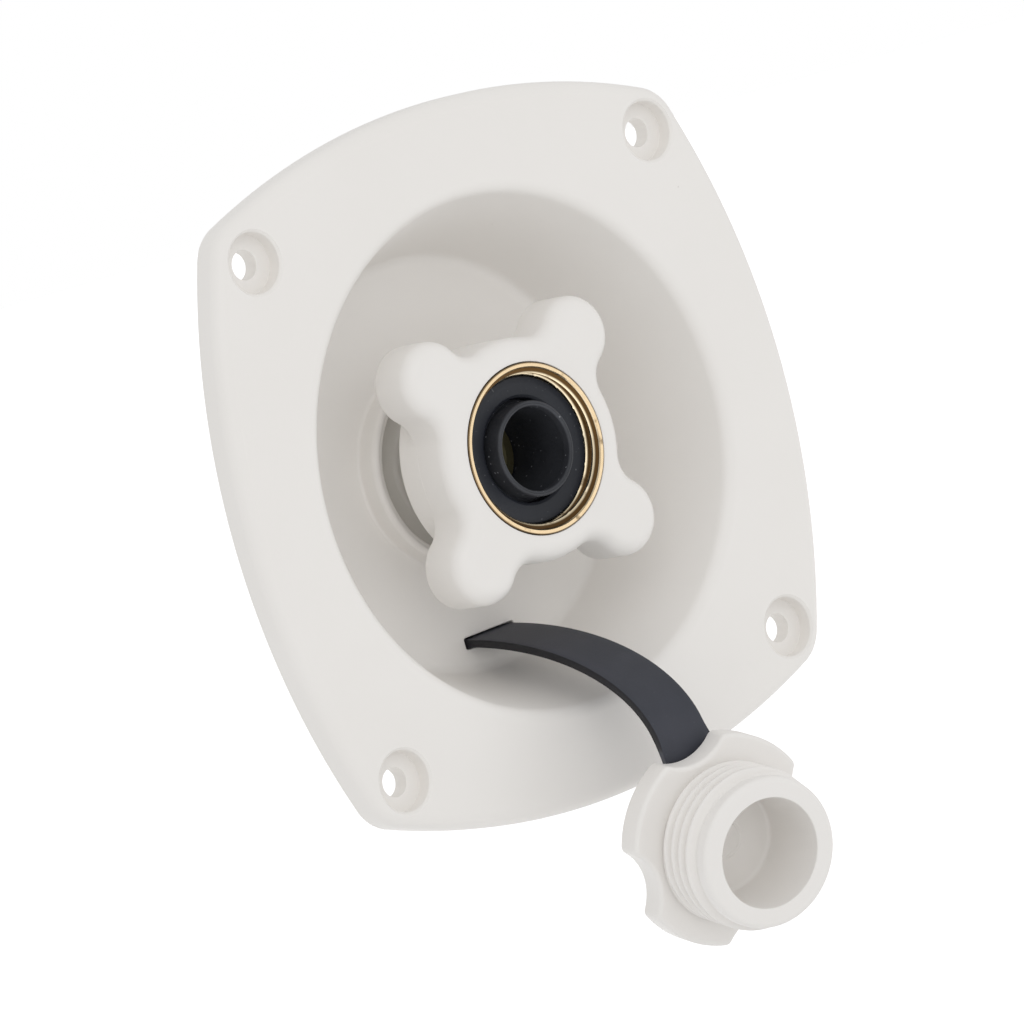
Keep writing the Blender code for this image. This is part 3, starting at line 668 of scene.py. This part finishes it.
def scallopedOutline(inset, rimSteps=26, softSteps=7, biteSteps=18):
    s = plugSize
    rim, bite, soft = s["rim"] - inset, s["bite"] + inset, s["soft"] - inset
    biteAt = s["rim"] - s["biteDeep"] + s["bite"]
    toRim, toBite = rim - soft, bite + soft
    swing = acos((toRim ** 2 + biteAt ** 2 - toBite ** 2) / (2 * toRim * biteAt))
    lean = acos((biteAt ** 2 + toBite ** 2 - toRim ** 2) / (2 * biteAt * toBite))
    points = []
    for k in range(4):
        a = radians(s["biteTurn"]) + k * pi / 2
        b = a + pi / 2
        points += arc(towards(a, biteAt), bite, a + pi + lean, a + pi - lean, biteSteps)[:-1]
        points += arc(towards(a + swing, toRim), soft, a - lean, a + swing, softSteps)[:-1]
        points += arc((0, 0), rim, a + swing, b - swing, rimSteps)[:-1]
        points += arc(towards(b - swing, toRim), soft, b - swing, b + lean, softSteps)[:-1]
    return points


def makePlug():
    s = plugSize
    shape = Shape("sealingPlugShell", plugFrame)
    top, edge = s["rimThick"], s["edge"]
    quarter = [pi / 2 * k / 6 for k in range(7)]
    rings = [level(scallopedOutline(edge + flat), top)]
    rings += [level(scallopedOutline(edge * (1 - sin(a))), top - edge * (1 - cos(a))) for a in quarter]
    rings += [level(scallopedOutline(edge * (1 - cos(a))), edge * (1 - sin(a))) for a in quarter]
    rings += [level(scallopedOutline(edge + flat), 0)]
    shape.skin(rings)
    low, high = s["threadZ"]
    shape.fill(top, scallopedOutline(edge + flat), circle(s["root"] + 0.5))
    shape.fill(0, scallopedOutline(edge + flat), circle(s["post"] + 0.8))
    shape.turn([(s["root"] + 0.5, top), (s["root"], low)])
    shape.skin(threadRings(low, high, s["root"], s["crest"], s["threadPitch"], s["lead"], 0.25, 0.8,
                           perPitch=16))
    floorZ, markZ = s["boreZ"], s["boreZ"] - 0.12    # a shallow ring is marked in the bore's floor
    nose = rounded([(s["root"], high, 0.3), (s["nose"], high + 0.35, 0.3),
                    (s["nose"], s["long"], s["noseSoft"]), (s["bore"], s["long"], 0.25),
                    (s["bore"] - 0.2, floorZ, 0.7), (3.5, floorZ, 0.08), (3.35, markZ, 0.08),
                    (3.0, markZ, 0.08), (2.85, floorZ, 0.08), (0, floorZ, 0)], step=9.0)
    shape.turn([(s["root"], high), *nose[1:]])
    post = rounded([(s["post"] + 0.8, 0, 0), (s["post"], 0, 0.2), (s["post"], -2.0, 0.15),
                    (s["head"], -2.0, 0.3), (s["head"], -2.9, 0.5), (s["head"] - 1.5, s["headZ"], 0.6),
                    (0, s["headZ"], 0)])
    shape.turn(post)
    return shape.done()


finish(makePlug(), plugPlastic, "plug", "plug_plastic", "sealing_plug")
print("plug done")


# the strap is one rubber moulding, in two meshes that meet rigidly in the middle
strapSize = {
    "curve": ((-17.9, -30.2), (4.0, -32.0), (20.5, -40.0), (23.2, -50.0)),
    "bendAt": 0.45, "wide": 5.3, "half": 0.7, "soft": 0.28, "reach": 7.0,
    "headZ": (-21.0, -23.3), "headHalf": 2.8, "tail": 11.0, "eye": 7.0, "eyeHole": 2.95, "gap": 0.3,
}


def strapPoint(t):
    p = [Vector(q) for q in strapSize["curve"]]
    s = 1 - t
    place = s ** 3 * p[0] + 3 * s * s * t * p[1] + 3 * s * t * t * p[2] + t ** 3 * p[3]
    along = 3 * s * s * (p[1] - p[0]) + 6 * s * t * (p[2] - p[1]) + 3 * t * t * (p[3] - p[2])
    return place, along.normalized()


def bandRing(centre, across, over, wide, half, soft):
    points = []
    for k, (x, y) in enumerate(((1, 1), (-1, 1), (-1, -1), (1, -1))):
        corner = (x * (wide - soft), y * (half - soft))
        points += [centre + across * u + over * v
                   for u, v in arc(corner, soft, k * pi / 2, (k + 1) * pi / 2, 5)]
    flatSide = []                                # extra points across the broad faces
    for i, p in enumerate(points):
        flatSide.append(p)
        if i in (5, 17):
            q = points[(i + 1) % len(points)]
            flatSide += [p.lerp(q, k / 8) for k in range(1, 8)]
    return flatSide


def freeStations(start, end, count):
    made = []
    for i in range(count + 1):
        place, along = strapPoint(start + (end - start) * i / count)
        made.append((Vector((0, -place.x, place.y)), Vector((1, 0, 0)), Vector((0, along.y, along.x))))
    return made


def makeStrapRoot(seam):
    s = strapSize
    shape = Shape("strapRootBand", Matrix.Identity(4))
    right, up, at = Vector((1, 0, 0)), Vector((0, 0, 1)), s["curve"][0][1]
    near, far = s["headZ"]
    head = [(far, s["headHalf"] - 0.5, s["wide"] - 0.5), (far + 0.15, s["headHalf"] - 0.15, s["wide"] - 0.15),
            (far + 0.5, s["headHalf"], s["wide"]), (near - 0.3, s["headHalf"], s["wide"]),
            (near, s["headHalf"] - 0.3, s["wide"]), (near, s["half"] + 0.3, s["wide"]),
            (near + 0.3, s["half"], s["wide"])]
    rings = [bandRing(Vector((0, -z, at)), right, up, wide, half, s["soft"]) for z, half, wide in head]
    rings += [bandRing(c, a, o, s["wide"], s["half"], s["soft"]) for c, a, o in freeStations(0.0, seam, 56)]
    shape.skin(rings)
    shape.cap(rings[0])
    shape.cap(rings[-1])
    return shape.done()


def makeStrapEye(seam):
    s = strapSize
    shape = Shape("strapEyeBand", Matrix.Identity(4))
    stations = [(*station, s["wide"]) for station in freeStations(seam, 1.0, 40)]
    middleZ = -s["gap"] - s["half"]
    side, up, axis = (plugFrame.to_3x3() @ Vector(v) for v in ((1, 0, 0), (0, 1, 0), (0, 0, 1)))
    back = plugFrame.translation / mm + axis * middleZ
    last, _, lastOver, _ = stations[-1]
    lastAlong = stations[-1][0] - stations[-2][0]
    lastAlong.normalize()
    tailAt = back + up * s["tail"]
    span = (tailAt - last).length
    for i in range(1, 25):                       # a smooth run from the second bend to the flat tail
        t = i / 24
        a, b = 2 * t ** 3 - 3 * t * t + 1, t ** 3 - 2 * t * t + t
        c, d = 3 * t * t - 2 * t ** 3, t ** 3 - t * t
        place = a * last + b * span * lastAlong + c * tailAt - d * span * up
        ease = t * t * (3 - 2 * t)
        sideways = Vector((1, 0, 0)).lerp(side, ease).normalized()
        overs = lastOver.lerp(axis, ease).normalized()
        stations.append((place, sideways, overs, s["wide"]))
    turnFrom = asin(s["wide"] / s["eye"])
    for i in range(1, 33):                       # the band widens into the round eye
        a = turnFrom + (pi - 0.12 - turnFrom) * i / 32
        stations.append((back + up * s["eye"] * cos(a), side, axis, s["eye"] * sin(a)))
    rings = [bandRing(c, a, o, w, s["half"], s["soft"]) for c, a, o, w in stations]
    shape.skin(rings)
    shape.cap(rings[0])
    shape.cap(rings[-1])
    eye = shape.done()
    tool = Shape("eyeTool", plugFrame)
    profile = rounded([(0, 3.0, 0), (s["eyeHole"], 3.0, 0), (s["eyeHole"], -6.0, 0), (0, -6.0, 0)])
    tool.turn(profile, 48)
    combine(eye, tool.done())
    return eye


seamAt = 0.5 * (strapSize["bendAt"] + 1.0) - 0.01
strapRoot, strapEye = makeStrapRoot(seamAt), makeStrapEye(seamAt)
finish(strapRoot, strapRubber, None, "strap_rubber", "strap_anchor", "strap_middle")
finish(strapEye, strapRubber, None, "strap_rubber", "strap_middle", "strap_tip")
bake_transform(strapRoot)
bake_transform(strapEye)
print("strap done")


# pieces that keep their solid's shape
nodeLooks = {
    "body_gasket": sealRubber, "neck_snap_ring": springSteel, "sleeve_o_ring": sealRubber,
    "valve_seat": seatBrass, "valve_poppet": valveNylon, "poppet_seal": sealRubber,
    "stem_guide": valveNylon,
}
for name, look in nodeLooks.items():
    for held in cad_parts[name].material_slots:
        held.material = look


springSize = {"radius": 3.6, "wire": 0.35, "turns": 4, "frontZ": -15.85, "backZ": -24.05, "travel": 4.0}


def makeSpring():
    s = springSize
    shape = Shape("closingSpring")
    steps, up = 40 * s["turns"], Vector((0, 0, 1))
    rings = []
    for i in range(steps + 1):
        out = Vector((*towards(tau * i / 40, 1.0), 0))
        centre = out * s["radius"] + up * (s["backZ"] + (s["frontZ"] - s["backZ"]) * i / steps)
        rings.append([centre + out * u + up * v for u, v in circle(s["wire"], 12)])
    shape.skin(rings)
    shape.cap(rings[0])
    shape.cap(rings[-1])
    return shape.done()


spring = makeSpring()
finish(spring, springSteel, "root", "spring_steel", "valve_spring")
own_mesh(spring)
print("small pieces done")


def disc(name, look, radius, height):
    bm = bmesh.new()
    bmesh.ops.create_circle(bm, cap_ends=True, segments=96, radius=radius)
    mesh = bpy.data.meshes.new(name)
    bm.to_mesh(mesh)
    bm.free()
    made = bpy.data.objects.new(name, mesh)
    made.location.z = height
    mesh.materials.append(look.material)
    bpy.context.scene.collection.objects.link(made)
    return made


def makeFloor():
    look = Look("paperFloor", Specular_IOR_Level=0.1, Emission_Color=(1, 1, 1, 1), Emission_Strength=0.62)
    fibre = look.noise(30.0, 4.0)
    look.colour(look.blend(fibre, (0.90, 0.90, 0.90), (0.93, 0.93, 0.93)))
    look.roughness(0.85 + fibre * 0.1)
    floor = disc("paperFloor", look, backdropSize["floor"], backdropSize["floorZ"])
    floor.visible_diffuse = False                # it doesn't light the object from below


def makeBackdrop():                              # seen behind the floor, lights nothing
    look = Look("paperDome", Base_Color=(0, 0, 0, 1), Specular_IOR_Level=0.0,
                Emission_Color=(1, 1, 1, 1), Emission_Strength=1.0)
    bm = bmesh.new()
    bmesh.ops.create_icosphere(bm, subdivisions=4, radius=backdropSize["dome"])
    mesh = bpy.data.meshes.new("paperDome")
    bm.to_mesh(mesh)
    bm.free()
    dome = bpy.data.objects.new("paperDome", mesh)
    mesh.materials.append(look.material)
    bpy.context.scene.collection.objects.link(dome)
    dome.visible_diffuse = dome.visible_glossy = dome.visible_transmission = dome.visible_shadow = False


backdropSize = {"floor": 6.1, "floorZ": -0.28, "dome": 6.0}     # metres
lightSize = {                                    # place, size and power
    "key": ((-0.6, -1.2, 0.7), 1.4, 3.3), "side": ((1.2, -0.7, 0.1), 1.2, 1.0),
}
worldLight = 0.74
lightAim = Vector((0, 0, -0.02))


def makeLight():
    world = bpy.data.worlds.new("paleRoom")
    bpy.context.scene.world = world
    world.use_nodes = True
    back = world.node_tree.nodes["Background"]
    back.inputs["Color"].default_value = (1.0, 1.0, 1.0, 1.0)
    back.inputs["Strength"].default_value = worldLight
    for name, (place, size, power) in lightSize.items():
        data = bpy.data.lights.new(name, "AREA")
        data.shape, data.size, data.energy = "DISK", size, power
        lamp = bpy.data.objects.new(name, data)
        lamp.location = place
        lamp.rotation_mode = "QUATERNION"
        lamp.rotation_quaternion = (lightAim - Vector(place)).to_track_quat("-Z", "Y")
        bpy.context.scene.collection.objects.link(lamp)


def makeCamera():
    right, up = (0.733051, -0.621963, -0.275316), (0.276480, -0.097352, 0.956076)
    back = (-0.621446, -0.776972, 0.100597)
    data = bpy.data.cameras.new("frontLeft")
    data.lens, data.sensor_width, data.clip_start, data.clip_end = 255.888, 36.0, 0.05, 400.0
    camera = bpy.data.objects.new("frontLeft", data)
    place = Matrix((right, up, back)).transposed().to_4x4()
    place.translation = (-0.756464, -0.942819, 0.112497)
    camera.matrix_world = place
    bpy.context.scene.collection.objects.link(camera)
    bpy.context.scene.camera = camera


makeFloor()
makeBackdrop()
makeLight()
makeCamera()
bpy.context.scene.view_settings.view_transform = "Standard"
print("scene ready")

bpy.context.view_layer.update()
